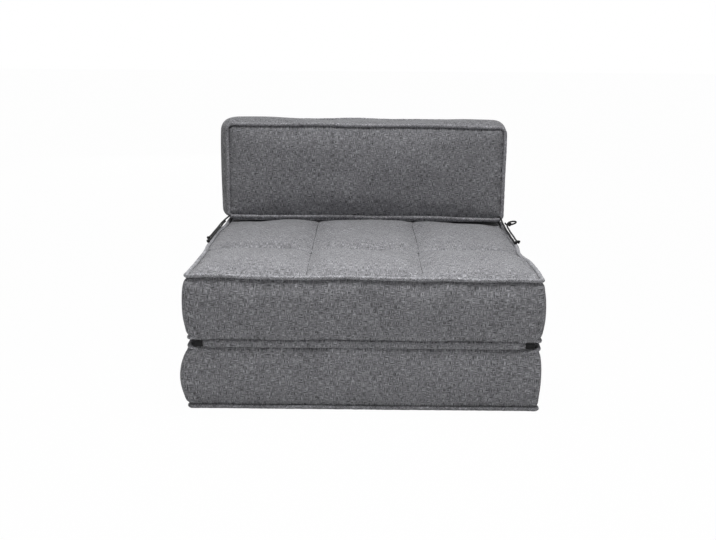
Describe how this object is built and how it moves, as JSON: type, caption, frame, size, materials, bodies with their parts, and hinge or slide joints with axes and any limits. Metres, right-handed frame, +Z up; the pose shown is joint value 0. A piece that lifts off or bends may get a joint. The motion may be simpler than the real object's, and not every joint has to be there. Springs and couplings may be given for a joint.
{
  "type": "convertible chair bed",
  "caption": "Low armless foam chair bed: stacked square cushions hinged at the front unfold into a single bed, with a loose tied back cushion.",
  "frame": {"origin": "centre of the lower block at floor level", "axes": "+Z up, the front of the chair faces -Y, +X to the right seen from the front"},
  "size_m": [0.8232, 0.8154, 0.5843],
  "materials": {
    "cover_cloth": "heathered grey woven linen-look cloth",
    "piping_cloth": "the cover cloth cut on the bias over a filler cord",
    "underside_cloth": "the cover cloth, plain",
    "foam": "open-cell upholstery foam",
    "fleece": "polyester fleece",
    "webbing": "black ribbed webbing",
    "tie_cord": "black braided cord",
    "zip_tape": "zip tape with a nylon coil",
    "zip_metal": "dark painted zinc"
  },
  "bodies": {
    "base": {"base_bottom_panel": "underside_cloth", "base_bottom_piping": "piping_cloth", "base_fleece_wrap": "fleece", "base_foam_core": "foam", "base_side_boxing": "cover_cloth", "base_top_panel": "cover_cloth", "base_top_piping": "piping_cloth", "base_zip_boxing": "cover_cloth", "base_zip_chain": "zip_tape", "fold_hinge_strip": "cover_cloth", "hinge_tab_left": "webbing", "hinge_tab_right": "webbing"},
    "seat": {"seat_bottom_panel": "cover_cloth", "seat_bottom_piping": "piping_cloth", "seat_fleece_wrap": "fleece", "seat_foam_core": "foam", "seat_quilt_wadding": "fleece", "seat_quilted_top": "cover_cloth", "seat_side_boxing": "cover_cloth", "seat_tie_left": "tie_cord", "seat_tie_left_knot": "tie_cord", "seat_tie_right": "tie_cord", "seat_tie_right_bow_knot": "tie_cord", "seat_tie_right_knot": "tie_cord", "seat_top_piping": "piping_cloth", "seat_zip_boxing": "cover_cloth", "seat_zip_chain": "zip_tape", "back_hinge_flap": "cover_cloth"},
    "backrest": {"back_fleece_wrap": "fleece", "back_foam_core": "foam", "back_foot_band": "cover_cloth", "back_front_panel": "cover_cloth", "back_front_piping": "piping_cloth", "back_rear_panel": "cover_cloth", "back_rear_piping": "piping_cloth", "back_side_boxing": "cover_cloth", "back_tie_left": "tie_cord", "back_tie_left_knot": "tie_cord", "back_tie_right": "tie_cord", "back_tie_right_knot": "tie_cord", "back_zip_boxing": "cover_cloth", "back_zip_chain": "zip_tape"},
    "base_slider": {"base_zip_slider": "zip_metal"},
    "base_pull": {"base_zip_pull": "zip_metal"},
    "seat_slider": {"seat_zip_slider": "zip_metal"},
    "seat_pull": {"seat_zip_pull": "zip_metal"},
    "back_slider": {"back_zip_slider": "zip_metal"},
    "back_pull": {"back_zip_pull": "zip_metal"}
  },
  "joints": [
    {"name": "seat_fold", "type": "hinge", "parent": "base", "child": "seat", "pos_m": [0, -0.406, 0.1618], "axis": [1, 0, 0], "range_deg": [0, 180], "deforming": ["fold_hinge_strip", "hinge_tab_left", "hinge_tab_right"]},
    {"name": "back_swing", "type": "hinge", "parent": "seat", "child": "backrest", "pos_m": [0, 0.41, 0.315], "axis": [1, 0, 0], "range_deg": [-180, 0], "deforming": ["back_hinge_flap"]},
    {"name": "base_zip", "type": "slide", "parent": "base", "child": "base_slider", "axis": [-1, 0, 0], "range_m": [0, 0.548]},
    {"name": "base_zip_pull_swing", "type": "hinge", "parent": "base_slider", "child": "base_pull", "pos_m": [0.274, 0.4093, 0.0735], "axis": [0, 1, 0], "range_deg": [-90, 90]},
    {"name": "seat_zip", "type": "slide", "parent": "seat", "child": "seat_slider", "axis": [-1, 0, 0], "range_m": [0, 0.548]},
    {"name": "seat_zip_pull_swing", "type": "hinge", "parent": "seat_slider", "child": "seat_pull", "pos_m": [0.274, 0.4093, 0.236], "axis": [0, 1, 0], "range_deg": [-90, 90]},
    {"name": "back_zip", "type": "slide", "parent": "backrest", "child": "back_slider", "axis": [-1, 0, 0], "range_m": [0, 0.548]},
    {"name": "back_zip_pull_swing", "type": "hinge", "parent": "back_slider", "child": "back_pull", "pos_m": [0.274, 0.4035, 0.3673], "axis": [0, 1, 0], "range_deg": [-90, 90]}
  ],
  "couplings": [
    {"joint": "back_swing", "follows": "seat_fold", "ratio": -1}
  ]
}
